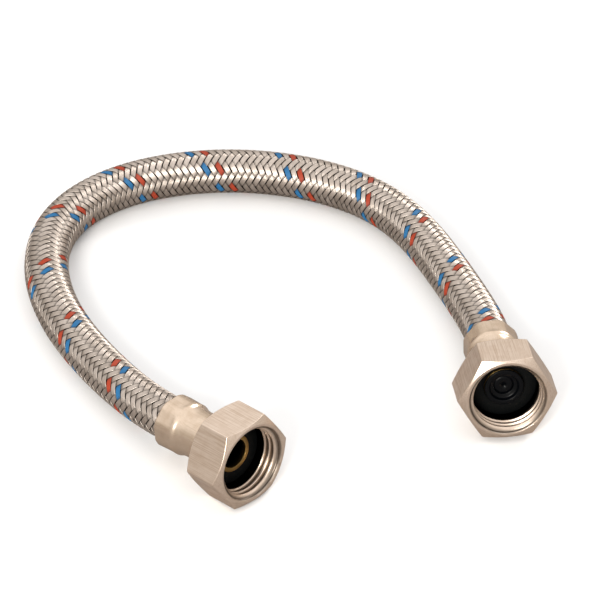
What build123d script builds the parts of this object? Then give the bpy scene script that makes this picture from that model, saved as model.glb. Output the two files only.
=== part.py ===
from build123d import *
import os
from math import cos, pi, radians, sin, sqrt, tan

# Braided supply line: a rubber tube in a braided steel sleeve, with a swivel nut at each end.
# Millimetres, +Z up. The origin is where the valve end nut's thread starts, on its axis and
# MOUTH_CHAMFER inside its mouth. Seen from above, +Y runs from there into the fitting. The line
# lies on a level surface below the origin: each nut rests on the back edge of its lower flat, so
# the end fittings slope down to the hose.
# "depth" is the distance from a nut's mouth along its axis, into the line.

# Hose: how thick it is, how long it is, and how it lies.
HOSE_OD = 12.6
SLEEVE_WALL = 0.55
TUBE_BORE = 8.4
LENGTH = 341.5                # mouth to mouth, along the centreline
STRAIGHT_END = 33.0           # depth at which the hose starts to bend
BEND_PER_CM = (8.9, 0.3, 11.9, 7.7, 8.6, 17.0, 8.1, 2.3, 5.5)    # degrees, at even stations
VALVE_END_TILT = 9.5          # degrees each end fitting slopes down to the hose
PLAIN_END_TILT = 6.5
PATH_STEP = 0.5

# The hose is cut into rigid lengths at these distances from the valve end's mouth, closest
# together where it curves most. HINGE_GAP lets one length swing until the hose is straight.
HINGES = (48.5, 98.0, 118.0, 143.5, 168.0, 186.0, 204.0, 222.0, 240.0, 283.5)
HINGE_GAP = 3.6

# Clearances between pieces.
TOUCH = 0.05                  # pieces that sit still against each other
RUNNING = 0.06                # the nut on its nipple

# Swivel nut with a G 1/2 thread, cut as a plain bore at the thread's minor diameter.
NUT_ACROSS_FLATS = 24.0
HEX_LENGTH = 12.6
NUT_LENGTH = 14.2
NUT_NECK_R = 8.4
HEX_CHAMFER_ANGLE = 30.0
HEX_FACE_R = 11.4
THREAD_MINOR_R = 18.631 / 2
MOUTH_CHAMFER = 1.5
THREAD_END = 6.2
RELIEF_R = 10.4
NUT_FLOOR = 11.3              # depth of the shoulder that the nipple's flange pulls against

# Nipple, the same at both ends.
NOSE_R = 5.45
NOSE_DEPTH = 7.2
COUNTERBORE_R = 4.2
COUNTERBORE_END = 15.4
FLANGE_R = 9.1
FLANGE_THICKNESS = 1.5
HUB_R = 5.5
HUB_END = 24.0
TAIL_R = 4.1
BARB_R = 4.55                 # the tube is stretched a little over the barbs
BARB_LENGTH = 1.9
BARB_COUNT = 3
TAIL_BORE_R = 3.0
TAIL_END = 30.4

# Gasket on the flange, round the nose.
GASKET_R = 9.15
GASKET_DEPTH = 7.65

# Ferrule: a neck on the nipple's hub, then a wider length crimped on the hose.
FERRULE_DEPTH = NUT_LENGTH + 0.3
FERRULE_END = 31.0
NECK_R = 6.8
NECK_END = 21.6
CRIMP_START = 24.6
CRIMP_R = 7.5                 # to the middle of a flat
CRIMP_RIDGE_R = 7.75
CRIMP_FLATS = 8
END_ROUNDING = 0.5
STRETCHED_HOSE_R = 6.55       # the sleeve's outside where the barbs stretch the hose
HOSE_START = HUB_END + 0.2
SLEEVE_SETTLES = FERRULE_END + 0.2  # the tube inside it settles just before
GRIP_LAP = 0.5                # overlap of the stretched end and the hose at its own size

# Non-return valve in the valve end's counterbore.
VALVE_FLANGE_R = 5.1
VALVE_FLANGE_THICKNESS = 0.55
VALVE_R = COUNTERBORE_R - TOUCH
VALVE_END = 15.2
VALVE_MOUTH_R = 3.7
SEAT_R = 2.7
SEAT_DEPTH = 7.7
SEAT_END = 8.6
CHAMBER_R = 3.4
O_RING_WIRE = 0.6
O_RING_DEPTH = 8.05
POPPET_R = 3.1
POPPET_FACE = 8.0
POPPET_THICKNESS = 0.8
STEM_R = 0.9
STEM_END = 14.6
SPRING_R = 1.9
SPRING_WIRE = 0.4
SPRING_TURNS = 4
GUIDE_DEPTH = 13.7
GUIDE_END = 15.0
GUIDE_HUB_R = 1.7
GUIDE_RING_WALL = 0.5
GUIDE_ARMS = 3
GUIDE_ARM_WIDTH = 0.9

HOSE_R = HOSE_OD / 2
SLEEVE_BORE_R = HOSE_R - SLEEVE_WALL
TUBE_R = SLEEVE_BORE_R - TOUCH
NUT_CORNER_R = NUT_ACROSS_FLATS / sqrt(3)


# ---- the hose's centreline ----

def bend_at(distance):
    """Curvature of the centreline seen from above, in radians per mm."""
    first, last = STRAIGHT_END, LENGTH - STRAIGHT_END
    if not first <= distance <= last:
        return 0.0
    place = (distance - first) / (last - first) * (len(BEND_PER_CM) - 1)
    i = min(int(place), len(BEND_PER_CM) - 2)
    per_cm = BEND_PER_CM[i] + (BEND_PER_CM[i + 1] - BEND_PER_CM[i]) * (place - i)
    return radians(per_cm) / 10


def mouth_height(tilt):
    """Height of a mouth's centre over the surface that the back edge of the nut rests on."""
    flat_r = NUT_ACROSS_FLATS / 2
    edge_depth = HEX_LENGTH - (flat_r - HEX_FACE_R) * tan(radians(HEX_CHAMFER_ANGLE))
    return flat_r * cos(radians(tilt)) + edge_depth * sin(radians(tilt))


def settling_length(tilt):
    """Length of hose that bends evenly from the fitting's slope to lying level."""
    drop = mouth_height(tilt) - STRAIGHT_END * sin(radians(tilt)) - HOSE_R
    return drop * radians(tilt) / (1 - cos(radians(tilt)))


def climb_at(distance):
    """Slope of the centreline in radians: down from the valve end, level, up to the plain end."""
    down = 1 - (distance - STRAIGHT_END) / settling_length(VALVE_END_TILT)
    up = 1 - (LENGTH - STRAIGHT_END - distance) / settling_length(PLAIN_END_TILT)
    return (radians(PLAIN_END_TILT) * min(max(up, 0.0), 1.0)
            - radians(VALVE_END_TILT) * min(max(down, 0.0), 1.0))


def direction_of(heading, climb):
    return Vector(cos(climb) * cos(heading), cos(climb) * sin(heading), sin(climb))


def lay_out_path():
    """Points and directions every PATH_STEP, found by following the bends from the valve end."""
    heading = pi / 2
    point = direction_of(heading, climb_at(0)) * -MOUTH_CHAMFER
    points = []
    directions = []
    for i in range(round(LENGTH / PATH_STEP) + 1):
        distance = i * PATH_STEP
        points.append(point)
        directions.append(direction_of(heading, climb_at(distance)))
        middle = distance + PATH_STEP / 2
        turn = bend_at(middle) * PATH_STEP
        point = point + direction_of(heading + turn / 2, climb_at(middle)) * PATH_STEP
        heading += turn
    return points, directions


POINTS, DIRECTIONS = lay_out_path()


def between_steps(values, distance):
    place = distance / PATH_STEP
    i = min(int(place), len(values) - 2)
    return values[i] + (values[i + 1] - values[i]) * (place - i)


def path_point(distance):
    """Point on the centreline this far from the valve end's mouth."""
    return between_steps(POINTS, distance)


def path_direction(distance):
    """Direction of travel, away from the valve end."""
    return between_steps(DIRECTIONS, distance).normalized()


def centreline_between(start, end):
    """The piece of centreline from start to end as one curve. start may be the later one."""
    count = max(3, round(abs(end - start) / 6))
    distances = [start + (end - start) * i / count for i in range(count + 1)]
    way = 1 if end > start else -1
    return Spline(*[path_point(d) for d in distances],
                  tangents=[path_direction(start) * way, path_direction(end) * way])


# ---- placing an end fitting: built along +Z with depth as z, then laid on its end's axis ----

def on_axis(shape, mouth, inward):
    """Turn a shape so that its Z runs inward from the mouth and its X stays level."""
    level = inward.cross(Vector(0, 0, 1))
    return Plane(origin=mouth, x_dir=level, z_dir=inward).location * shape


def at_valve_end(shape):
    return on_axis(shape, POINTS[0], DIRECTIONS[0])


def at_plain_end(shape):
    return on_axis(shape, POINTS[-1], -DIRECTIONS[-1])


def turned(*outline):
    """Solid of revolution about Z from (radius, depth) corners."""
    face = make_face(Polyline(*[(r, 0, depth) for r, depth in outline], close=True))
    return revolve(face, Axis.Z)


def ring(outer_r, inner_r, depth, end):
    outer = Pos(0, 0, depth) * Cylinder(outer_r, end - depth, align=(Align.CENTER, Align.CENTER, Align.MIN))
    inner = Pos(0, 0, depth) * Cylinder(inner_r, end - depth, align=(Align.CENTER, Align.CENTER, Align.MIN))
    return outer - inner


# ---- the pieces of an end fitting ----

def make_nut():
    hexagon = RegularPolygon(radius=NUT_CORNER_R, side_count=6)
    blank = extrude(hexagon, HEX_LENGTH)
    chamfer = (NUT_CORNER_R - HEX_FACE_R) * tan(radians(HEX_CHAMFER_ANGLE))
    rounded = turned((0, 0), (HEX_FACE_R, 0), (NUT_CORNER_R, chamfer),
                     (NUT_CORNER_R, HEX_LENGTH - chamfer), (HEX_FACE_R, HEX_LENGTH), (0, HEX_LENGTH))
    neck = turned((0, HEX_LENGTH - 1), (NUT_NECK_R + 1, HEX_LENGTH - 1), (NUT_NECK_R, NUT_LENGTH),
                  (0, NUT_LENGTH))
    hole_r = HUB_R + RUNNING
    bore = turned((0, -1), (THREAD_MINOR_R + MOUTH_CHAMFER, -1), (THREAD_MINOR_R + MOUTH_CHAMFER, 0),
                  (THREAD_MINOR_R, MOUTH_CHAMFER), (THREAD_MINOR_R, THREAD_END),
                  (RELIEF_R, THREAD_END), (RELIEF_R, NUT_FLOOR), (hole_r, NUT_FLOOR),
                  (hole_r, NUT_LENGTH + 1), (0, NUT_LENGTH + 1))
    return (blank & rounded) + neck - bore


def make_gasket():
    return ring(GASKET_R, NOSE_R + TOUCH, GASKET_DEPTH, flange_depth())


def flange_depth():
    """Depth of the flange's front face, which leaves the flange a small play in the nut."""
    return NUT_FLOOR - FLANGE_THICKNESS - TOUCH


def make_nipple():
    """Nose through the gasket, flange the nut pulls on, hub, and a barbed tail for the tube."""
    first_barb = TAIL_END - BARB_COUNT * BARB_LENGTH
    tail = [(TAIL_R, HUB_END), (TAIL_R, first_barb)]
    for i in range(BARB_COUNT):
        foot = first_barb + i * BARB_LENGTH
        tail += [(BARB_R, foot), (TAIL_R, foot + BARB_LENGTH)]
    return turned((COUNTERBORE_R, NOSE_DEPTH), (NOSE_R, NOSE_DEPTH), (NOSE_R, flange_depth()),
                  (FLANGE_R, flange_depth()), (FLANGE_R, flange_depth() + FLANGE_THICKNESS),
                  (HUB_R, flange_depth() + FLANGE_THICKNESS), (HUB_R, HUB_END), *tail,
                  (TAIL_BORE_R, TAIL_END), (TAIL_BORE_R, COUNTERBORE_END),
                  (COUNTERBORE_R, COUNTERBORE_END))


def make_ferrule():
    """Neck by the nut, then a shoulder up to a length crimped flat on CRIMP_FLATS sides."""
    body = turned((HUB_R + TOUCH, FERRULE_DEPTH), (NECK_R, FERRULE_DEPTH), (NECK_R, NECK_END),
                  (CRIMP_RIDGE_R, CRIMP_START), (CRIMP_RIDGE_R, FERRULE_END - END_ROUNDING),
                  (CRIMP_RIDGE_R - END_ROUNDING, FERRULE_END),
                  (STRETCHED_HOSE_R + TOUCH, FERRULE_END),
                  (STRETCHED_HOSE_R + TOUCH, HOSE_START - TOUCH),
                  (HUB_R + TOUCH, HOSE_START - TOUCH))
    jaws = RegularPolygon(radius=CRIMP_R, side_count=CRIMP_FLATS, major_radius=False)
    return body & extrude(jaws, FERRULE_END + 1)


# ---- the non-return valve ----

def make_valve_body():
    """Flanged sleeve with a funnel mouth, a seat for the poppet and a groove for the O-ring."""
    flange_front = NOSE_DEPTH - VALVE_FLANGE_THICKNESS - TOUCH
    flange_back = NOSE_DEPTH - TOUCH
    half_groove = O_RING_WIRE / 2 + TOUCH
    groove_r = VALVE_R - O_RING_WIRE - TOUCH
    return turned((VALVE_MOUTH_R, flange_front), (VALVE_FLANGE_R, flange_front),
                  (VALVE_FLANGE_R, flange_back), (VALVE_R, flange_back),
                  (VALVE_R, O_RING_DEPTH - half_groove), (groove_r, O_RING_DEPTH - half_groove),
                  (groove_r, O_RING_DEPTH + half_groove), (VALVE_R, O_RING_DEPTH + half_groove),
                  (VALVE_R, VALVE_END), (CHAMBER_R, VALVE_END), (CHAMBER_R, SEAT_END),
                  (SEAT_R, SEAT_END), (SEAT_R, SEAT_DEPTH))


def make_valve_o_ring():
    wire = O_RING_WIRE / 2
    return Pos(0, 0, O_RING_DEPTH) * Torus(VALVE_R - wire, wire)


def make_valve_poppet():
    """Mushroom: a domed face in the seat, a head behind it and a guided stem."""
    head = SEAT_END + TOUCH
    return turned((0, POPPET_FACE), (SEAT_R - 1.2, POPPET_FACE), (SEAT_R - 2 * TOUCH, head),
                  (POPPET_R, head), (POPPET_R, head + POPPET_THICKNESS),
                  (STEM_R, head + POPPET_THICKNESS), (STEM_R, STEM_END), (0, STEM_END))


def make_valve_spring():
    """Compression spring round the stem, between the poppet's head and the guide."""
    clear = SPRING_WIRE / 2 + TOUCH
    start = SEAT_END + TOUCH + POPPET_THICKNESS + clear
    height = GUIDE_DEPTH - clear - start
    coil = Pos(0, 0, start) * Helix(pitch=height / SPRING_TURNS, height=height, radius=SPRING_R)
    section = Plane(origin=coil @ 0, z_dir=coil % 0) * Circle(SPRING_WIRE / 2)
    return sweep(section, path=coil, is_frenet=True)


def make_valve_guide():
    """Spider that holds the stem on the axis and backs the spring."""
    rim = ring(CHAMBER_R - TOUCH, CHAMBER_R - TOUCH - GUIDE_RING_WALL, GUIDE_DEPTH, GUIDE_END)
    hub = ring(GUIDE_HUB_R, STEM_R + TOUCH, GUIDE_DEPTH, GUIDE_END)
    arm_length = CHAMBER_R - GUIDE_RING_WALL - GUIDE_HUB_R + 0.4
    arm = Pos(GUIDE_HUB_R - 0.2, 0, GUIDE_DEPTH) * Box(
        arm_length, GUIDE_ARM_WIDTH, GUIDE_END - GUIDE_DEPTH, align=(Align.MIN, Align.CENTER, Align.MIN))
    spider = rim + hub
    for i in range(GUIDE_ARMS):
        spider += Rot(Z=i * 360 / GUIDE_ARMS) * arm
    return spider


# ---- the hose, in rigid lengths ----

def swept_length(outer_r, inner_r, start, end):
    section = Circle(outer_r) - Circle(inner_r)
    face = Plane(origin=path_point(start), z_dir=path_direction(start)) * section
    return sweep(face, path=centreline_between(start, end))


def hose_lengths(outer_r, inner_r, stretched_r, stretched_bore_r, settles_at):
    """One layer of the hose, cut at the hinges, in order from the valve end. Its ends are stretched
    over the barbs to stretched_r, and it is back to its own size from the depth settles_at."""
    half_gap = HINGE_GAP / 2
    grip = ring(stretched_r, stretched_bore_r, HOSE_START, settles_at + GRIP_LAP)
    first = swept_length(outer_r, inner_r, settles_at, HINGES[0] - half_gap)
    middle = [swept_length(outer_r, inner_r, start + half_gap, end - half_gap)
              for start, end in zip(HINGES, HINGES[1:])]
    last = swept_length(outer_r, inner_r, LENGTH - settles_at, HINGES[-1] + half_gap)
    return [first + at_valve_end(grip), *middle, last + at_plain_end(grip)]


def make_braid_sleeve():
    return hose_lengths(HOSE_R, SLEEVE_BORE_R, STRETCHED_HOSE_R, STRETCHED_HOSE_R - SLEEVE_WALL,
                        SLEEVE_SETTLES)


def make_inner_tube():
    return hose_lengths(TUBE_R, TUBE_BORE / 2, STRETCHED_HOSE_R - SLEEVE_WALL - TOUCH,
                        BARB_R + TOUCH, SLEEVE_SETTLES - GRIP_LAP - TOUCH)


def make_line():
    """Every piece by name, in its place."""
    nut, gasket, nipple, ferrule = make_nut(), make_gasket(), make_nipple(), make_ferrule()
    pieces = {
        "valve_end_nut": at_valve_end(nut),
        "valve_end_gasket": at_valve_end(gasket),
        "valve_end_nipple": at_valve_end(nipple),
        "valve_end_ferrule": at_valve_end(ferrule),
        "valve_body": at_valve_end(make_valve_body()),
        "valve_o_ring": at_valve_end(make_valve_o_ring()),
        "valve_poppet": at_valve_end(make_valve_poppet()),
        "valve_spring": at_valve_end(make_valve_spring()),
        "valve_guide": at_valve_end(make_valve_guide()),
        "plain_end_nut": at_plain_end(nut),
        "plain_end_gasket": at_plain_end(gasket),
        "plain_end_nipple": at_plain_end(nipple),
        "plain_end_ferrule": at_plain_end(ferrule),
    }
    for i, length in enumerate(make_inner_tube(), start=1):
        pieces[f"inner_tube_{i:02d}"] = length
    for i, length in enumerate(make_braid_sleeve(), start=1):
        pieces[f"braid_sleeve_{i:02d}"] = length
    return pieces


os.makedirs("parts", exist_ok=True)
for name, piece in make_line().items():
    piece.label = name
    export_step(piece, f"parts/{name}.step")
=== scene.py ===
from math import atan, ceil, cos, pi, radians, sin, sqrt, tan

import bmesh
import bpy
import numpy as np
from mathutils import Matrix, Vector


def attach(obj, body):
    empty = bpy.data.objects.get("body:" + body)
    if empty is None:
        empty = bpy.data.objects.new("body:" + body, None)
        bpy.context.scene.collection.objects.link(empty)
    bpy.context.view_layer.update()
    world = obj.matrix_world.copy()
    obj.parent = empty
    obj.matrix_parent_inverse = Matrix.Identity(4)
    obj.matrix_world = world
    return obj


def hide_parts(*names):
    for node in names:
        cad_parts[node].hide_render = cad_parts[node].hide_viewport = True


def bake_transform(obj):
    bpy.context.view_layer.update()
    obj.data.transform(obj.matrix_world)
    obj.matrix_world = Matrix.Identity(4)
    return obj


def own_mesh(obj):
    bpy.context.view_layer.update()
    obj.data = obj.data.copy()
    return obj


# How the braided supply line looks: a steel braid of interlaced strands, each a flat band of wires,
# over a dark rubber tube, with a plated swivel nut and a crimped ferrule at each end.
# Lengths are millimetres unless a name ends in _m or _M; the meshes are scaled to metres as they are made.
# "distance" runs along the centreline from the valve end's mouth, and "depth" from either mouth.
# "angle" goes round the centreline, from its left side towards its top, in degrees.

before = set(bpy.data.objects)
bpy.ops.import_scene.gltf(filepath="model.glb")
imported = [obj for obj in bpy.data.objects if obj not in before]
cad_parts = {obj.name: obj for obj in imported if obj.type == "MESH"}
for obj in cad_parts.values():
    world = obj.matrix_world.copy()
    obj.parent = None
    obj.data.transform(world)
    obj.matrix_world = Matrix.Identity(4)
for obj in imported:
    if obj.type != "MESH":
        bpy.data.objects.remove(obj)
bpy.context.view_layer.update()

MM = 0.001

# Centreline, as in the CAD source.
HOSE_R = 6.3
TUBE_R = 5.6
LENGTH = 341.5
STRAIGHT_END = 33.0
BEND_PER_CM = (8.9, 0.3, 11.9, 7.7, 8.6, 17.0, 8.1, 2.3, 5.5)    # degrees, at even stations
VALVE_END_TILT = 9.5
PLAIN_END_TILT = 6.5
PATH_STEP = 0.5
HINGES = (48.5, 98.0, 118.0, 143.5, 168.0, 186.0, 204.0, 222.0, 240.0, 283.5)

# Swivel nut, G 1/2.
NUT_ACROSS_FLATS = 24.0
HEX_LENGTH = 12.6
NUT_LENGTH = 14.2
NUT_NECK_R = 8.4
NUT_HOLE_R = 5.56             # where the nut turns on the nipple's hub
NECK_TAPER = 2.6              # length of the nut's neck for each millimetre that its radius grows
HEX_FACE_R = 11.4
HEX_CHAMFER = tan(radians(30))
HEX_EDGE_R = 0.45             # rounding of the six long edges
THREAD_MINOR_R = 18.631 / 2
THREAD_MAJOR_R = 20.955 / 2
THREAD_PITCH = 1.814
THREAD_FLANK = 0.605          # depth taken up by one flank
THREAD_ROWS = 12              # rows of the mesh in one pitch
MOUTH_R = 10.82
THREAD_END = 6.2
RELIEF_R = 10.4
GROOVE_SHADE_START_R = 9.6           # painted shade fills the thread's grooves from here out
NUT_FLOOR = 11.3

# Nipple, gasket and ferrule. CLEARANCE is how much wider a hole is than what stands in it, in radius.
CLEARANCE = 0.05
NOSE_R = 5.45
NOSE_DEPTH = 7.2
NOSE_BORE_R = 4.2
COUNTERBORE_END = 15.4
FLANGE_R = 9.1
FLANGE_DEPTH = 9.75
FLANGE_BACK = 11.25
HUB_R = 5.5
HUB_END = 24.0
GASKET_R = 9.15
GASKET_DEPTH = 7.65
TAIL_R = 4.3
TAIL_BORE_R = 3.0
TAIL_END = 30.4
FERRULE_DEPTH = 14.5
NECK_R = 6.8
NECK_END = 21.6
CRIMP_START = 24.6
CRIMP_R = 7.5                 # to the middle of a flat
CRIMP_RIDGE_R = 7.75
CRIMP_FLATS = 8
FERRULE_END = 31.0
STRETCHED_HOSE_R = 6.55       # the braid's outside over the nipple's barbs
SETTLE_START = 30.0           # where the hose starts to narrow as it leaves the ferrule
SETTLE_END = 33.0

# Non-return valve.
VALVE_FACE = 6.55
VALVE_FLANGE_R = 5.42
VALVE_FLANGE_BACK = 7.15
VALVE_R = 4.15
VALVE_END = 15.2
CHAMBER_R = 3.4
SEAT_R = 2.7
SEAT_DEPTH = 7.7
SEAT_END = 8.6
PLUNGER_FACE = 8.0
PLUNGER_HEAD = 8.65           # behind the seat
PLUNGER_HEAD_END = 9.45
PLUNGER_R = 3.1
STEM_R = 0.9
STEM_END = 14.6
SPRING_START = 9.5            # behind the plunger's head
SPRING_END = 13.65            # in front of the guide
SPRING_R = 1.9                # to the middle of the wire
SPRING_WIRE_R = 0.2
SPRING_TURNS = 4

# Braid: twelve strands each way, two over and two under, each a band of parallel wires.
STRANDS = 12
LEAD = 24.9                   # length in which a strand goes once round
WIRES = 7
WIRE_R = 0.1
BAND_ANGLE = 26.8             # how far round one band reaches, out of 360 / STRANDS
BAND_PINCH = 6.0              # how much narrower a band is where it passes under another
WEAVE_HEIGHT = 0.16           # how far a band rises and dips about the middle of the braid
WEAVE_PERIODS = 6             # rises in one turn
OVER_AT = 30.0                # angle at which the right-handed strands are outermost
FIRST_STRAND_AT = 0.123       # where the first right-handed strand starts, in leads
RED_STRAND = 0
BLUE_STRAND = 2
BRAID_START = 29.4
TWIST = (-2, 2, 9, 14, 14, 14, 14, 7, 3, -2, -8)        # degrees the braid has turned round the hose
CREEP = (2, -38, -15, 8, 6, -4, 2, 1, -3, -20, -38)     # degrees its strands run ahead where it is slack
ROW_STEP = 0.4
DRIFT_PERIODS = (31.0, 53.0, 97.0)
DRIFT_ANGLE = 0.32
SHADE_SPREAD = 0.35           # how much the strands differ in brightness

# Camera, at the angle the line was photographed from.
CAMERA_AZIMUTH = -7.33
CAMERA_ELEVATION = 39.0
CAMERA_DISTANCE = 1400.0
CAMERA_TARGET = (-48.4, 65.4)
CAMERA_LENS = 297.2
LAMP_SIZE_M = 0.5
FLOOR_HALF_SIDE = 6000.0

# Marks on a turned piece's vertices that say where each is, in millimetres.
PLACE_MARKS = ("around", "along", "out")

# Colours of painted shade, the floor and the room, as light and not as screen values.
PAINTED_SHADE_COLOUR = (0.012, 0.01, 0.008, 1.0)
FLOOR_SEEN = (0.93, 0.93, 0.93, 1.0)
FLOOR_IN_METAL = (0.3, 0.27, 0.25, 1.0)
ROOM = (1.0, 1.0, 1.0, 1.0)
ROOM_SIDES_IN_METAL = (0.52, 0.47, 0.42, 1.0)
ROOM_TOP_IN_METAL = (0.95, 0.9, 0.86, 1.0)

random = np.random.default_rng(7)


# ---- the centreline ----

def mouth_height(tilt):
    """Height of a mouth's centre over the surface that the back edge of the nut rests on."""
    flat_r = NUT_ACROSS_FLATS / 2
    edge_depth = HEX_LENGTH - (flat_r - HEX_FACE_R) * HEX_CHAMFER
    return flat_r * cos(radians(tilt)) + edge_depth * sin(radians(tilt))


def settling_length(tilt):
    drop = mouth_height(tilt) - STRAIGHT_END * sin(radians(tilt)) - HOSE_R
    return drop * radians(tilt) / (1 - cos(radians(tilt)))


def lay_out_centreline():
    """Distances, points and directions every PATH_STEP, following the bends from the valve end."""
    distances = np.arange(round(LENGTH / PATH_STEP) + 1) * PATH_STEP
    middles = distances[:-1] + PATH_STEP / 2
    stations = np.linspace(STRAIGHT_END, LENGTH - STRAIGHT_END, len(BEND_PER_CM))
    bends = np.interp(middles, stations, np.radians(BEND_PER_CM) / 10, left=0, right=0)
    turns = bends * PATH_STEP
    headings = pi / 2 + np.concatenate([[0], np.cumsum(turns)])

    def climb(distance):
        down = 1 - (distance - STRAIGHT_END) / settling_length(VALVE_END_TILT)
        up = 1 - (LENGTH - STRAIGHT_END - distance) / settling_length(PLAIN_END_TILT)
        return (radians(PLAIN_END_TILT) * np.clip(up, 0, 1)
                - radians(VALVE_END_TILT) * np.clip(down, 0, 1))

    def directions(heading, climbing):
        return np.stack([np.cos(climbing) * np.cos(heading), np.cos(climbing) * np.sin(heading),
                         np.sin(climbing)], -1)

    steps = directions(headings[:-1] + turns / 2, climb(middles)) * PATH_STEP
    mouth = -(MOUTH_R - THREAD_MINOR_R) * directions(pi / 2, climb(0.0))
    points = mouth + np.concatenate([np.zeros((1, 3)), np.cumsum(steps, axis=0)])
    return distances, points, directions(headings, climb(distances))


DISTANCES, POINTS, DIRECTIONS = lay_out_centreline()
TABLE_Z = POINTS[0][2] - mouth_height(VALVE_END_TILT)


def unit(vectors):
    return vectors / np.linalg.norm(vectors, axis=-1, keepdims=True)


def smooth(t):
    """0 up to t = 0, 1 from t = 1, and a smooth step between."""
    t = np.clip(t, 0, 1)
    return t * t * (3 - 2 * t)


def along_path(values, distance):
    return np.stack([np.interp(distance, DISTANCES, values[:, k]) for k in range(3)], -1)


def around_path(distance, angle, radius):
    """Points at an angle round the centreline and a radius from it. The arguments can be arrays."""
    distance, angle, radius = np.broadcast_arrays(distance, np.radians(angle), radius)
    along = unit(along_path(DIRECTIONS, distance))
    left = unit(np.cross((0.0, 0.0, 1.0), along))
    up = np.cross(along, left)
    outward = np.cos(angle)[..., None] * left + np.sin(angle)[..., None] * up
    return along_path(POINTS, distance) + radius[..., None] * outward


# ---- meshes ----

def make_piece(name, vertices, faces, material, marks=None):
    """A smooth-shaded mesh object. marks are named numbers on the vertices, for the material."""
    mesh = bpy.data.meshes.new(name)
    mesh.vertices.add(len(vertices))
    mesh.vertices.foreach_set("co", (vertices * MM).astype(np.float32).ravel())
    mesh.loops.add(faces.size)
    mesh.loops.foreach_set("vertex_index", faces.astype(np.int32).ravel())
    mesh.polygons.add(len(faces))
    mesh.polygons.foreach_set("loop_start", np.arange(len(faces), dtype=np.int32) * 4)
    mesh.update(calc_edges=True)
    mesh.shade_smooth()
    for mark, values in (marks or {}).items():
        attribute = mesh.attributes.new(mark, "FLOAT", "POINT")
        attribute.data.foreach_set("value", values.astype(np.float32).ravel())
    mesh.materials.append(material)
    piece = bpy.data.objects.new(name, mesh)
    bpy.context.scene.collection.objects.link(piece)
    return piece


def grid_faces(rows, columns):
    """Quads over a grid of vertices numbered row by row."""
    corner = (np.arange(rows - 1)[:, None] * columns + np.arange(columns - 1)).ravel()
    return np.stack([corner, corner + 1, corner + columns + 1, corner + columns], -1)


def filleted(corners, steps=3):
    """An outline of (radius, depth) points from (radius, depth, fillet) corners."""
    places = np.array([corner[:2] for corner in corners], float)
    outline = []
    for i, (place, corner) in enumerate(zip(places, corners)):
        if corner[2] == 0:
            outline.append(place)
            continue
        before = places[i - 1] - place
        after = places[(i + 1) % len(places)] - place
        reach = min(corner[2], 0.45 * np.linalg.norm(before), 0.45 * np.linalg.norm(after))
        start = place + unit(before) * reach
        end = place + unit(after) * reach
        for t in np.linspace(0, 1, steps + 1):
            outline.append((1 - t) ** 2 * start + 2 * t * (1 - t) * place + t * t * end)
    return np.array(outline)


def turned_piece(name, end, outline_at, angles, material):
    """A piece round an end fitting's axis. outline_at(angle) gives its closed outline there."""
    outlines = np.array([outline_at(angle) for angle in angles])
    outlines = np.concatenate([outlines, outlines[:, :1]], axis=1)
    radius, depth = outlines[..., 0], outlines[..., 1]
    distance = depth if end == "valve_end" else LENGTH - depth
    points = around_path(distance, np.array(angles)[:, None], radius)
    faces = grid_faces(*radius.shape)
    if end == "valve_end":
        faces = faces[:, ::-1]
    marks = {"around": np.radians(angles)[:, None] * radius, "along": depth, "out": radius}
    piece = make_piece(name, points.reshape(-1, 3), faces, material, marks)
    weld(piece)
    return piece


def weld(piece):
    """Join vertices that lie on each other, and keep flat faces flat where they meet a fillet."""
    solid = bmesh.new()
    solid.from_mesh(piece.data)
    bmesh.ops.remove_doubles(solid, verts=solid.verts, dist=1e-6)
    bmesh.ops.recalc_face_normals(solid, faces=solid.faces)
    solid.to_mesh(piece.data)
    solid.free()
    modifier = piece.modifiers.new("even shading", "WEIGHTED_NORMAL")
    modifier.weight = 100


def every(step):
    return np.linspace(0, 360, round(360 / step) + 1)


# ---- materials ----

def node(tree, kind, inputs=None, **settings):
    """A shader node. Its inputs are numbers, colours or other nodes' outputs."""
    made = tree.nodes.new(kind)
    for setting, value in settings.items():
        setattr(made, setting, value)
    for socket, value in (inputs or {}).items():
        if isinstance(value, bpy.types.NodeSocket):
            tree.links.new(value, made.inputs[socket])
        else:
            made.inputs[socket].default_value = value
    return made


def start_material(name):
    material = bpy.data.materials.new(name)
    material.use_nodes = True
    tree = material.node_tree
    return material, tree, tree.nodes["Principled BSDF"]


def connect(tree, surface, **inputs):
    for socket, value in inputs.items():
        tree.links.new(value, surface.inputs[socket.replace("_", " ")])


def mark(tree, name):
    return node(tree, "ShaderNodeAttribute", attribute_name=name).outputs["Fac"]


def maths(tree, operation, a, b):
    return node(tree, "ShaderNodeMath", {0: a, 1: b}, operation=operation).outputs[0]


def place(tree, x, y, z):
    return node(tree, "ShaderNodeCombineXYZ", {0: x, 1: y, 2: z}).outputs[0]


def noise(tree, vector, scale, detail=3.0):
    made = node(tree, "ShaderNodeTexNoise", {"Vector": vector, "Scale": scale, "Detail": detail})
    return made.outputs["Fac"]


def between(tree, factor, low, high):
    """Map a 0 to 1 factor to a range."""
    made = node(tree, "ShaderNodeMapRange", {"Value": factor, "To Min": low, "To Max": high})
    return made.outputs["Result"]


def mixed_colour(tree, factor, a, b):
    made = node(tree, "ShaderNodeMix", data_type="RGBA")
    for socket, value in ((0, factor), (6, a), (7, b)):
        if isinstance(value, bpy.types.NodeSocket):
            tree.links.new(value, made.inputs[socket])
        else:
            made.inputs[socket].default_value = value
    return made.outputs[2]


def bump(tree, height, strength, distance_m):
    made = node(tree, "ShaderNodeBump", {"Height": height, "Strength": strength,
                                         "Distance": distance_m})
    return made.outputs["Normal"]


def colour(red, green, blue):
    """Linear colour from 0 to 255 screen values."""
    return tuple((c / 255) ** 2.2 for c in (red, green, blue)) + (1.0,)


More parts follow.
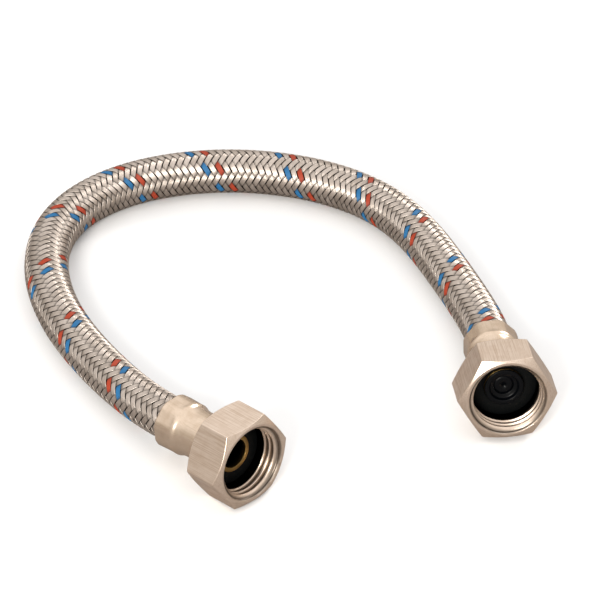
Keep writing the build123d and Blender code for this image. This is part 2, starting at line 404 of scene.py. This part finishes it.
def with_painted_shade(tree, shown, amount):
    """A colour taken towards the near-black of painted shade by an amount from 0 to 1."""
    return mixed_colour(tree, amount, shown, PAINTED_SHADE_COLOUR)


def steps_in(tree, value, start, end):
    """0 below start, 1 above end. start may be the larger."""
    made = node(tree, "ShaderNodeMapRange", {"Value": value, "From Min": start, "From Max": end},
                interpolation_type="SMOOTHSTEP")
    return made.outputs["Result"]


def plated_material(name, tone, roughness, grain):
    """Nickel-plated brass with fine lines along the axis, grain times stronger than just visible."""
    material, tree, surface = start_material(name)
    around, along, out = (mark(tree, name) for name in PLACE_MARKS)
    lines = noise(tree, place(tree, around, maths(tree, "MULTIPLY", along, 0.02), out), 4.0, 6.0)
    patches = noise(tree, place(tree, around, along, out), 0.35, 2.0)
    specks = noise(tree, place(tree, around, along, out), 9.0, 2.0)
    pale = tuple(c * 1.1 for c in tone[:3]) + (1.0,)
    dull = tuple(c * k for c, k in zip(tone[:3], (0.72, 0.64, 0.55))) + (1.0,)
    dulled = between(tree, steps_in(tree, patches, 0.3, 0.9), 0.0, 0.45)
    scored = maths(tree, "MULTIPLY", steps_in(tree, lines, 0.42, 0.68), 0.45 * grain)
    lined = mixed_colour(tree, scored, mixed_colour(tree, dulled, pale, dull), dull)
    rough = maths(tree, "ADD", between(tree, patches, roughness - 0.06, roughness + 0.06),
                  between(tree, specks, -0.03, 0.05))
    height = maths(tree, "ADD", lines, between(tree, specks, 0.0, 0.25))
    surface.inputs["Metallic"].default_value = 1.0
    # The base colour carries painted shade inside a nut, in its thread's grooves and behind its thread.
    connect(tree, surface, Base_Color=with_painted_shade(tree, lined, nut_painted_shade(tree, along, out)),
            Roughness=rough, Normal=bump(tree, height, 0.25 * grain, 0.00003))
    return material


def nut_painted_shade(tree, along, out):
    """Painted shade inside a nut: some in the grooves of its thread, and more behind it."""
    inside = steps_in(tree, out, RELIEF_R + 0.5, RELIEF_R + 0.1)
    before_floor = steps_in(tree, along, NUT_FLOOR + 0.6, NUT_FLOOR + 0.2)
    in_groove = between(tree, steps_in(tree, out, GROOVE_SHADE_START_R, THREAD_MAJOR_R), 0.0, 0.75)
    behind_thread = steps_in(tree, along, THREAD_END - 1.2, THREAD_END)
    in_nut = maths(tree, "MULTIPLY", inside, before_floor)
    return maths(tree, "MULTIPLY", in_nut, maths(tree, "MAXIMUM", in_groove, behind_thread))


def braid_material():
    """Bright wire with painted shade where a strand dips under and along band edges, with blue or red on
    strands marked as tracers.
    """
    material, tree, surface = start_material("woven_wire")
    names = ("along", "across", "shade", "tracer", "painted_crevice_shade")
    along, across, shade, tracer, painted_crevice_shade = (mark(tree, name) for name in names)
    streaks = noise(tree, place(tree, maths(tree, "MULTIPLY", along, 0.15), across, shade), 6.0)
    steel = mixed_colour(tree, between(tree, maths(tree, "ADD", streaks, shade), -0.3, 0.9),
                         colour(180, 169, 158), colour(240, 230, 222))
    is_red = steps_in(tree, tracer, 1.4, 1.6)
    coated = steps_in(tree, tracer, 0.4, 0.6)
    coating = mixed_colour(tree, is_red, colour(10, 104, 156), colour(166, 54, 8))
    faded = mixed_colour(tree, between(tree, streaks, 0.0, 0.12), coating, colour(120, 110, 110))
    # Painted shade in the braid's crevices and along band edges.
    shown = with_painted_shade(tree, mixed_colour(tree, coated, steel, faded), painted_crevice_shade)
    metallic = between(tree, coated, 1.0, 0.1)
    roughness = maths(tree, "ADD", between(tree, streaks, 0.32, 0.44), between(tree, coated, 0, 0.1))
    connect(tree, surface, Base_Color=shown, Metallic=metallic, Roughness=roughness,
            Normal=bump(tree, streaks, 0.15, 0.00003))
    return material


def rubber_material(name, tone, roughness, marked=True):
    material, tree, surface = start_material(name)
    if marked:
        where = place(tree, *(mark(tree, name) for name in PLACE_MARKS))
        fine, broad = 12.0, 0.8
    else:
        where = node(tree, "ShaderNodeTexCoord").outputs["Object"]
        fine, broad = 12000.0, 800.0
    grain = noise(tree, where, fine)
    bloom = noise(tree, where, broad)
    pale = tuple(c * 1.6 + 0.001 for c in tone[:3]) + (1.0,)
    surface.inputs["Specular IOR Level"].default_value = 0.15
    connect(tree, surface, Base_Color=mixed_colour(tree, bloom, tone, pale),
            Roughness=between(tree, grain, roughness - 0.1, roughness + 0.1),
            Normal=bump(tree, grain, 0.25, 0.00003))
    return material


def brass_material():
    """Bare brass with the rings a lathe leaves, and painted shade down the bore."""
    material, tree, surface = start_material("turned_brass")
    around, along, out = (mark(tree, name) for name in PLACE_MARKS)
    rings = noise(tree, place(tree, maths(tree, "MULTIPLY", around, 0.02), along, out), 9.0, 4.0)
    tarnish = noise(tree, place(tree, around, along, out), 0.6)
    shown = mixed_colour(tree, tarnish, colour(128, 104, 62), colour(186, 158, 104))
    # Painted shade down the bore, behind the nose.
    deep_inside = steps_in(tree, along, NOSE_DEPTH + 0.1, NOSE_DEPTH + 2.0)
    surface.inputs["Metallic"].default_value = 1.0
    connect(tree, surface, Base_Color=with_painted_shade(tree, shown, deep_inside),
            Roughness=between(tree, rings, 0.26, 0.44), Normal=bump(tree, rings, 0.2, 0.00002))
    return material


def spring_material():
    material, tree, surface = start_material("drawn_wire")
    where = node(tree, "ShaderNodeTexCoord").outputs["Object"]
    drawn = noise(tree, where, 6000.0)
    surface.inputs["Metallic"].default_value = 1.0
    connect(tree, surface, Base_Color=mixed_colour(tree, drawn, colour(150, 152, 155),
                                                   colour(225, 226, 228)),
            Roughness=between(tree, drawn, 0.18, 0.34), Normal=bump(tree, drawn, 0.1, 0.00002))
    return material


# ---- end fittings ----

def hexagon_angles():
    """Angles round a hexagon with a corner at 0, close together where its edges are rounded."""
    flat_end = 30 - np.degrees(edge_reach())
    flat = np.linspace(30 - flat_end, 30 + flat_end, 15)
    edge = np.linspace(-(30 - flat_end), 30 - flat_end, 5)[1:-1]
    side = np.concatenate([flat, 60 + edge])
    return np.concatenate([side + 60 * i for i in range(6)] + [[360 + side[0]]])


def edge_reach():
    """Half the angle, in radians, over which one edge of the hexagon is rounded."""
    flat_r = NUT_ACROSS_FLATS / 2
    return radians(30) - atan((flat_r - HEX_EDGE_R) * tan(radians(30)) / flat_r)


def hexagon_r(angle):
    """Radius of the nut's hexagon, whose corners are at 0, 60, ... degrees."""
    from_corner = abs(radians((angle + 30) % 60 - 30))
    flat_r = NUT_ACROSS_FLATS / 2
    if from_corner >= edge_reach():
        return flat_r / cos(radians(30) - from_corner)
    centre = (flat_r - HEX_EDGE_R) / cos(radians(30))
    return centre * cos(from_corner) + sqrt(HEX_EDGE_R ** 2 - (centre * sin(from_corner)) ** 2)


def thread_wall(angle):
    """The thread from its inner end to the mouth, cut by the mouth's chamfer."""
    last_row = THREAD_ROWS * (ceil(THREAD_END / THREAD_PITCH) + 1)
    row = np.arange(last_row, -THREAD_ROWS - 1, -1) + THREAD_ROWS * angle / 360
    depth = np.clip(row * THREAD_PITCH / THREAD_ROWS, 0, THREAD_END)
    from_root = np.abs((depth / THREAD_PITCH - angle / 360) % 1 - 0.5) * THREAD_PITCH
    rounding = (THREAD_PITCH / 2 - THREAD_FLANK) / 2
    ridge = smooth((from_root - rounding) / THREAD_FLANK)
    radius = THREAD_MAJOR_R - (THREAD_MAJOR_R - THREAD_MINOR_R) * ridge
    return np.stack([np.maximum(radius, MOUTH_R - depth), depth], -1)


def nut_outline(angle):
    corner = hexagon_r(angle)
    chamfer = (corner - HEX_FACE_R) * HEX_CHAMFER
    neck_root = NUT_NECK_R + (NUT_LENGTH - HEX_LENGTH) / NECK_TAPER
    outside = filleted([
        (MOUTH_R, 0, 0.08), (HEX_FACE_R, 0, 0.1), (corner, chamfer, 0.14),
        (corner, HEX_LENGTH - chamfer, 0.14), (HEX_FACE_R, HEX_LENGTH, 0.1),
        (neck_root, HEX_LENGTH, 0.3), (NUT_NECK_R, NUT_LENGTH, 0.3), (NUT_HOLE_R, NUT_LENGTH, 0),
        (NUT_HOLE_R, NUT_FLOOR, 0), (RELIEF_R, NUT_FLOOR, 0.3), (RELIEF_R, THREAD_END + 0.1, 0)])
    return np.concatenate([outside, thread_wall(angle)])


def gasket_outline(angle):
    """A washer squeezed a little unevenly, so that its face swells between its edges."""
    bow = 0.04 * cos(3 * radians(angle))
    swell = 0.08
    hole_r = NOSE_R + CLEARANCE
    return filleted([(hole_r, GASKET_DEPTH + swell, 0.15),
                     ((NOSE_R + GASKET_R) / 2, GASKET_DEPTH - swell + bow, 1.5),
                     (GASKET_R, GASKET_DEPTH + swell, 0.3), (GASKET_R, FLANGE_DEPTH, 0.1),
                     (hole_r, FLANGE_DEPTH, 0.1)])


def nipple_outline(angle):
    return filleted([(NOSE_BORE_R, NOSE_DEPTH, 0.12), (NOSE_R, NOSE_DEPTH, 0.2),
                     (NOSE_R, FLANGE_DEPTH, 0), (FLANGE_R, FLANGE_DEPTH, 0.1),
                     (FLANGE_R, FLANGE_BACK, 0.1), (HUB_R, FLANGE_BACK, 0), (HUB_R, HUB_END, 0.1),
                     (TAIL_R, HUB_END, 0), (TAIL_R, TAIL_END, 0.2), (TAIL_BORE_R, TAIL_END, 0.1),
                     (TAIL_BORE_R, COUNTERBORE_END, 0.1), (NOSE_BORE_R, COUNTERBORE_END, 0)])


def crimp_r(angle):
    """Radius of the crimped length: flats from the jaws, with rounded ridges between them."""
    side = 360 / CRIMP_FLATS
    from_flat = abs((angle + side / 2) % side - side / 2)
    flat = CRIMP_R / cos(radians(from_flat))
    softness = 0.06
    share = np.clip(0.5 + 0.5 * (CRIMP_RIDGE_R - flat) / softness, 0, 1)
    return CRIMP_RIDGE_R * (1 - share) + flat * share - softness * share * (1 - share)


def ferrule_outline(angle):
    """A narrow neck by the nut, a shoulder, and the crimped length with a turned-in end."""
    crimp = crimp_r(angle)
    hole_r = HUB_R + CLEARANCE
    inside_r = STRETCHED_HOSE_R + CLEARANCE
    step_depth = HUB_END + 0.15
    return filleted([
        (hole_r, FERRULE_DEPTH, 0), (NECK_R, FERRULE_DEPTH, 0.3), (NECK_R, NECK_END, 1.5),
        (NECK_R + 0.3, CRIMP_START - 1.1, 0.3), (CRIMP_R + 0.1, CRIMP_START - 0.1, 0.4),
        (crimp - 0.08, CRIMP_START + 1.3, 0.6), (crimp + 0.08, FERRULE_END - 0.4, 0.3),
        (crimp - 0.35, FERRULE_END, 0.15), (inside_r, FERRULE_END, 0.1),
        (inside_r, step_depth, 0), (hole_r, step_depth, 0)], steps=5)


def cartridge_outline(angle):
    """The valve's body: rounded flange, a shallow dish in it and the seat for the plunger."""
    return filleted([
        (VALVE_FLANGE_R - 1.3, VALVE_FACE, 0.25), (VALVE_FLANGE_R, VALVE_FACE, 0.3),
        (VALVE_FLANGE_R, VALVE_FLANGE_BACK, 0.05), (VALVE_R, VALVE_FLANGE_BACK, 0),
        (VALVE_R, VALVE_END, 0), (CHAMBER_R, VALVE_END, 0), (CHAMBER_R, SEAT_END, 0.05),
        (SEAT_R, SEAT_END, 0.05), (SEAT_R + 0.05, SEAT_DEPTH + 0.2, 0.15),
        (VALVE_FLANGE_R - 1.6, SEAT_DEPTH - 0.1, 0.3)])


def plunger_outline(angle):
    """The valve's plunger: a low face in the seat, a wider head behind it and a stem."""
    face_r = SEAT_R - 0.1
    axis_r = 0.01
    return filleted([
        (axis_r, PLUNGER_FACE, 0), (face_r - 0.4, PLUNGER_FACE, 0.3), (face_r, PLUNGER_FACE + 0.2, 0.1),
        (face_r, PLUNGER_HEAD, 0), (PLUNGER_R, PLUNGER_HEAD, 0.1), (PLUNGER_R, PLUNGER_HEAD_END, 0.1),
        (STEM_R, PLUNGER_HEAD_END, 0.1), (STEM_R, STEM_END, 0.2), (axis_r, STEM_END, 0)])


def build_end(end, plating, ferrule_plating, rubber, brass):
    nut = turned_piece(f"{end}_swivel_nut", end, nut_outline, hexagon_angles(), plating)
    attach(nut, f"{end}_nut")
    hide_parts(f"{end}_nut")
    parts = (("sealing_washer", gasket_outline, every(3), rubber, "gasket", "black_rubber"),
             ("barbed_nipple", nipple_outline, every(3), brass, "nipple", "raw_brass"),
             ("crimped_ferrule", ferrule_outline, every(2.5), ferrule_plating, "ferrule",
              "ferrule_plate"))
    for name, outline, angles, material, cad_node, slot in parts:
        piece = turned_piece(f"{end}_{name}", end, outline, angles, material)
        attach(piece, end)
        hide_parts(f"{end}_{cad_node}")


def coil_spring(name, material):
    """The valve's spring, wound round the stem, its wire pinched shut at both ends."""
    along = np.linspace(0, 1, 24 * SPRING_TURNS + 1)[:, None]
    round_wire = np.radians(every(45))
    wire_r = np.where(along * (1 - along) > 0, SPRING_WIRE_R, 0)
    coiled = SPRING_END - SPRING_START - 2 * SPRING_WIRE_R
    depth = SPRING_START + SPRING_WIRE_R + along * coiled + wire_r * np.sin(round_wire)
    points = around_path(depth, 360 * SPRING_TURNS * along, SPRING_R + wire_r * np.cos(round_wire))
    piece = make_piece(name, points.reshape(-1, 3), grid_faces(*depth.shape), material)
    weld(piece)
    return piece


def build_valve(plastic, hidden_plastic, hidden_rubber, spring_wire):
    cartridge = turned_piece("valve_cartridge", "valve_end", cartridge_outline, every(3), plastic)
    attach(cartridge, "valve_end")
    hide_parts("valve_body")
    plunger = turned_piece("valve_plunger", "valve_end", plunger_outline, every(6), plastic)
    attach(plunger, "poppet")
    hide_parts("valve_poppet")
    spring = coil_spring("valve_coil_spring", spring_wire)
    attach(spring, "valve_end")
    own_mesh(spring)
    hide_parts("valve_spring")
    for cad_node, material in (("valve_guide", hidden_plastic), ("valve_o_ring", hidden_rubber)):
        dress_cad_node(cad_node, material)


def dress_cad_node(name, material):
    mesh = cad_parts[name].data
    mesh.materials.clear()
    mesh.materials.append(material)


# ---- the braid ----

def hose_scale(distance):
    """The hose's outside as a share of HOSE_R: it narrows where it leaves a ferrule."""
    depth = np.minimum(distance, LENGTH - distance)
    settled = smooth((depth - SETTLE_START) / (SETTLE_END - SETTLE_START))
    return (STRETCHED_HOSE_R + (HOSE_R - STRETCHED_HOSE_R) * settled) / HOSE_R


def band_profile():
    """Across one band: place from -0.5 to 0.5, and height of the wires over the band's middle."""
    across = [-0.5]
    height = [-WIRE_R]
    for wire in range(WIRES):
        for share, rise in ((0.02, 0.1), (0.3, 0.9), (0.7, 0.9)):
            across.append((wire + share) / WIRES - 0.5)
            height.append(rise * WIRE_R)
    return np.array(across + [0.5 - 0.02 / WIRES, 0.5]), np.array(height + [0.1 * WIRE_R, -WIRE_R])


def wander(distance, strands):
    """A slow sideways drift of each strand, in degrees, as a real braid has."""
    drift = np.zeros((strands, len(distance)))
    for period in DRIFT_PERIODS:
        phase = random.uniform(0, 2 * pi, (strands, 1))
        drift += DRIFT_ANGLE * np.sin(2 * pi * distance / period + phase)
    return drift


def at_stations(values, distance):
    """A value given at even stations along the hose, between them."""
    stations = np.linspace(STRAIGHT_END, LENGTH - STRAIGHT_END, len(values))
    return np.interp(distance, stations, values)


def over_or_under(angle, hand):
    """1 where a band lies over the others and -1 where it lies under them."""
    return hand * np.cos(np.radians(WEAVE_PERIODS * (angle - OVER_AT)))


def weave(angle, hand):
    """Height of a band at an angle in the braid: rises and dips, with short steep crossings."""
    wave = over_or_under(angle, hand)
    return WEAVE_HEIGHT * wave * (1.5 - 0.5 * wave * wave)


ALL_ROWS = np.linspace(BRAID_START, LENGTH - BRAID_START,
                       ceil((LENGTH - 2 * BRAID_START) / ROW_STEP) + 1)
DRIFT = {1: wander(ALL_ROWS, STRANDS), -1: wander(ALL_ROWS, STRANDS)}
SHADE = {1: random.uniform(0, SHADE_SPREAD, STRANDS), -1: random.uniform(0, SHADE_SPREAD, STRANDS)}


def braid_vertices(hand, rows):
    """Vertices and marks of all strands of one hand over some rows: (strand, row, across)."""
    across, height = band_profile()
    distance = ALL_ROWS[rows][None, :, None]
    strand = np.arange(STRANDS)[:, None, None]
    start = FIRST_STRAND_AT if hand == 1 else FIRST_STRAND_AT + 0.5 / STRANDS
    middle = hand * 360 * (distance / LEAD - start) - hand * 360 * strand / STRANDS
    middle = middle + hand * at_stations(CREEP, distance) + DRIFT[hand][:, rows, None]
    width = BAND_ANGLE - BAND_PINCH * (1 - over_or_under(middle, hand)) / 2
    offset = across[None, None, :] * width
    middle_r = HOSE_R - WEAVE_HEIGHT - WIRE_R
    rise = weave(middle + offset / 2, hand)
    radius = middle_r + rise + height
    twist = at_stations(TWIST, distance)
    points = around_path(distance, middle + twist + offset, radius * hose_scale(distance))
    shape = radius.shape
    tracer = np.zeros(shape)
    if hand == 1:
        tracer[BLUE_STRAND] = 1
        tracer[RED_STRAND] = 2
    # Painted shade: darkest where a band is deepest, and half dark along its edges.
    sunk = np.clip(0.72 - 1.25 * rise / WEAVE_HEIGHT, 0, 1)
    at_edge = np.abs(across) > 0.48
    marks = {
        "along": np.broadcast_to(distance * sqrt(1 + (2 * pi * HOSE_R / LEAD) ** 2), shape),
        "across": np.broadcast_to(across * 2 + strand * 3 + hand * 50, shape),
        "shade": np.broadcast_to(SHADE[hand][:, None, None], shape),
        "tracer": tracer,
        "painted_crevice_shade": np.maximum(sunk, 0.5 * at_edge)}
    return points, marks


def braid_piece(name, first_row, last_row, material):
    """All strands between two rows, as one mesh."""
    rows = np.arange(first_row, last_row + 1)
    vertices, faces, marks = [], [], {}
    count = 0
    for hand in (1, -1):
        points, hand_marks = braid_vertices(hand, rows)
        strands, row_count, columns = points.shape[:3]
        one = grid_faces(row_count, columns)
        if hand == 1:
            one = one[:, ::-1]
        for strand in range(strands):
            faces.append(one + count)
            count += row_count * columns
        vertices.append(points.reshape(-1, 3))
        for key, values in hand_marks.items():
            marks.setdefault(key, []).append(values.ravel())
    marks = {key: np.concatenate(values) for key, values in marks.items()}
    return make_piece(name, np.concatenate(vertices), np.concatenate(faces), material, marks)


def tube_piece(name, first_row, last_row, material):
    """The rubber tube under the braid."""
    rows = [*range(first_row, last_row, 2), last_row]
    distance = ALL_ROWS[rows][:, None]
    angles = every(10)
    radius = np.repeat(TUBE_R * hose_scale(distance), len(angles), axis=1)
    points = around_path(distance, angles, radius)
    marks = {"around": np.radians(angles) * radius,
             "along": np.broadcast_to(distance, radius.shape), "out": radius}
    return make_piece(name, points.reshape(-1, 3), grid_faces(*radius.shape)[:, ::-1], material, marks)


def build_hose(wire, rubber):
    """Braid and tube, cut half way between hinges."""
    middles = [(a + b) / 2 for a, b in zip(HINGES, HINGES[1:])]
    cuts = [0, *[int(np.abs(ALL_ROWS - m).argmin()) for m in middles], len(ALL_ROWS) - 1]
    for i, (first, last) in enumerate(zip(cuts, cuts[1:])):
        braid = braid_piece(f"braid_{i + 1:02d}", first, last, wire)
        tube = tube_piece(f"rubber_tube_{i + 1:02d}", first, last, rubber)
        numbers = [i + 1] if i < len(HINGES) - 1 else [i + 1, i + 2]
        for piece, cad_node, slot in ((braid, "braid_sleeve", "steel_braid"),
                                      (tube, "inner_tube", "tube_rubber")):
            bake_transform(piece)
            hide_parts(*[f"{cad_node}_{number:02d}" for number in numbers])


# ---- the stage ----

def light_path(tree, ray):
    return node(tree, "ShaderNodeLightPath").outputs[ray]


def build_floor():
    """Pale to look at and to light by, but a dull grey in what the metal reflects."""
    material, tree, surface = start_material("studio_floor")
    shown = mixed_colour(tree, light_path(tree, "Is Glossy Ray"), FLOOR_SEEN, FLOOR_IN_METAL)
    surface.inputs["Roughness"].default_value = 0.9
    surface.inputs["Specular IOR Level"].default_value = 0.0
    connect(tree, surface, Base_Color=shown)
    x = np.array([-1, 1, 1, -1]) * FLOOR_HALF_SIDE
    y = np.array([-1, -1, 1, 1]) * FLOOR_HALF_SIDE
    corners = np.stack([x, y, np.full(4, TABLE_Z)], -1)
    floor = make_piece("floor", corners, np.array([[0, 1, 2, 3]]), material)


def aim(thing, location, target):
    thing.location = location
    thing.rotation_mode = "QUATERNION"
    thing.rotation_quaternion = (Vector(target) - Vector(location)).to_track_quat("-Z", "Y")


def build_lamp(name, location_m, watts, tone):
    lamp = bpy.data.lights.new(name, "AREA")
    lamp.shape = "DISK"
    lamp.size = LAMP_SIZE_M
    lamp.energy = watts
    lamp.color = tone
    thing = bpy.data.objects.new(name, lamp)
    bpy.context.scene.collection.objects.link(thing)
    centre = (CAMERA_TARGET[0] * MM, CAMERA_TARGET[1] * MM, TABLE_Z * MM)
    aim(thing, location_m, centre)


def build_light():
    """An even pale room, which the metal sees as bright overhead and dim round the sides."""
    world = bpy.data.worlds.new("studio")
    bpy.context.scene.world = world
    world.use_nodes = True
    tree = world.node_tree
    direction = node(tree, "ShaderNodeTexCoord").outputs["Generated"]
    height = node(tree, "ShaderNodeSeparateXYZ", {0: direction}).outputs["Z"]
    in_metal = mixed_colour(tree, steps_in(tree, height, 0.1, 0.75), ROOM_SIDES_IN_METAL,
                            ROOM_TOP_IN_METAL)
    shown = mixed_colour(tree, light_path(tree, "Is Glossy Ray"), ROOM, in_metal)
    tree.links.new(shown, tree.nodes["Background"].inputs["Color"])
    build_lamp("key", location_m=(-0.62, -1.1, 0.75), watts=15, tone=(1.0, 0.96, 0.9))
    build_lamp("fill", location_m=(0.9, 0.9, 0.8), watts=6, tone=(1.0, 0.95, 0.9))
    bpy.context.scene.view_settings.view_transform = "Standard"


def build_camera():
    camera = bpy.data.objects.new("camera", bpy.data.cameras.new("camera"))
    bpy.context.scene.collection.objects.link(camera)
    camera.data.lens = CAMERA_LENS
    camera.data.sensor_width = 36.0
    camera.data.clip_start = 0.05
    camera.data.clip_end = 50.0
    azimuth, elevation = radians(CAMERA_AZIMUTH), radians(CAMERA_ELEVATION)
    back = np.array([sin(azimuth) * cos(elevation), -cos(azimuth) * cos(elevation), sin(elevation)])
    target = np.array([*CAMERA_TARGET, TABLE_Z])
    aim(camera, (target + back * CAMERA_DISTANCE) * MM, target * MM)
    bpy.context.scene.camera = camera


nut_plating = plated_material("nut_plating", colour(244, 228, 213), 0.32, 1.4)
ferrule_plating = plated_material("ferrule_plating", colour(240, 222, 202), 0.22, 0.5)
black_rubber = rubber_material("black_rubber", colour(9, 12, 13), 0.55)
bare_brass = brass_material()
black_plastic = rubber_material("black_plastic", colour(9, 11, 14), 0.3)
for which in ("valve_end", "plain_end"):
    build_end(which, nut_plating, ferrule_plating, black_rubber, bare_brass)
build_valve(black_plastic, rubber_material("inner_plastic", colour(30, 32, 34), 0.4, marked=False),
            rubber_material("inner_rubber", colour(20, 20, 20), 0.5, marked=False), spring_material())
build_hose(braid_material(), rubber_material("tube_rubber", colour(30, 28, 26), 0.6))
build_floor()
build_light()
build_camera()
